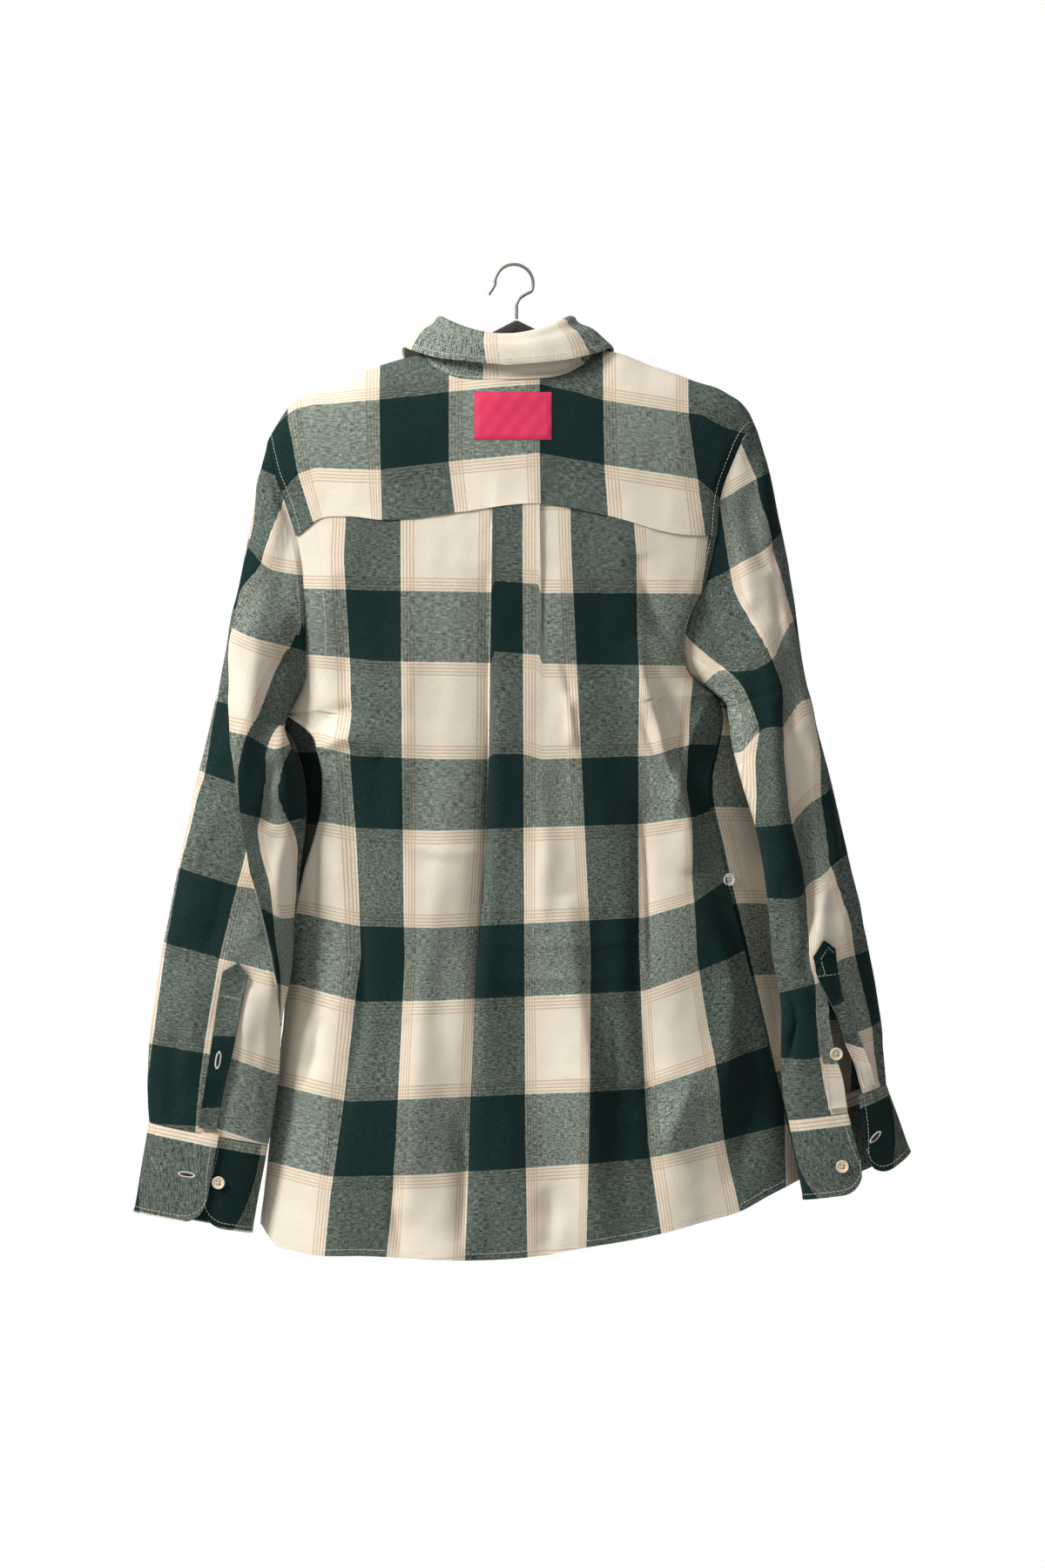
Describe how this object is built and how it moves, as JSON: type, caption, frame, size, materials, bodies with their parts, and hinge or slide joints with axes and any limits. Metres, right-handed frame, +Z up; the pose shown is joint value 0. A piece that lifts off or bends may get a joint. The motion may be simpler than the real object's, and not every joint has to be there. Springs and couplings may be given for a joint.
{
  "type": "flannel shirt on a hanger",
  "caption": "Long-sleeved checked flannel shirt with collar, back yoke, box pleat and unfastened cuffs, hung on a slim hanger with a wire hook.",
  "frame": {"origin": "inner top of the hanger's hook, where it bears on a rail", "axes": "+Z up; the shirt's back faces -Y and its front +Y; +X is towards the wearer's right"},
  "size_m": [0.6758, 0.1416, 0.8659],
  "materials": {
    "flannel": "brushed cotton twill in a green and cream check, matt with a soft nap",
    "button_cream": "cream four-hole buttons, softly polished",
    "button_white": "white four-hole button",
    "label": "plain pink patch, matt, no text",
    "hanger": "dark, slim, matt like flocking",
    "hook_wire": "plain bright wire"
  },
  "bodies": {
    "root": {"back_panel": "flannel", "yoke": "flannel", "front_left": "flannel", "front_right": "flannel", "front_band": "flannel", "collar_stand": "flannel", "collar_leaf": "flannel", "sleeve_left": "flannel", "sleeve_right": "flannel", "cuff_left": "flannel", "cuff_right": "flannel", "gauntlet_left": "flannel", "gauntlet_right": "flannel", "underlap_right": "flannel", "collar_button": "button_cream", "front_button_1": "button_cream", "front_button_2": "button_cream", "front_button_3": "button_cream", "front_button_4": "button_cream", "front_button_5": "button_cream", "front_button_6": "button_cream", "front_button_7": "button_cream", "cuff_button_left": "button_cream", "cuff_button_right": "button_cream", "underlap_button_right": "button_cream", "side_button": "button_white", "label": "label", "hanger_body": "hanger", "hanger_hook": "hook_wire"}
  },
  "joints": []
}
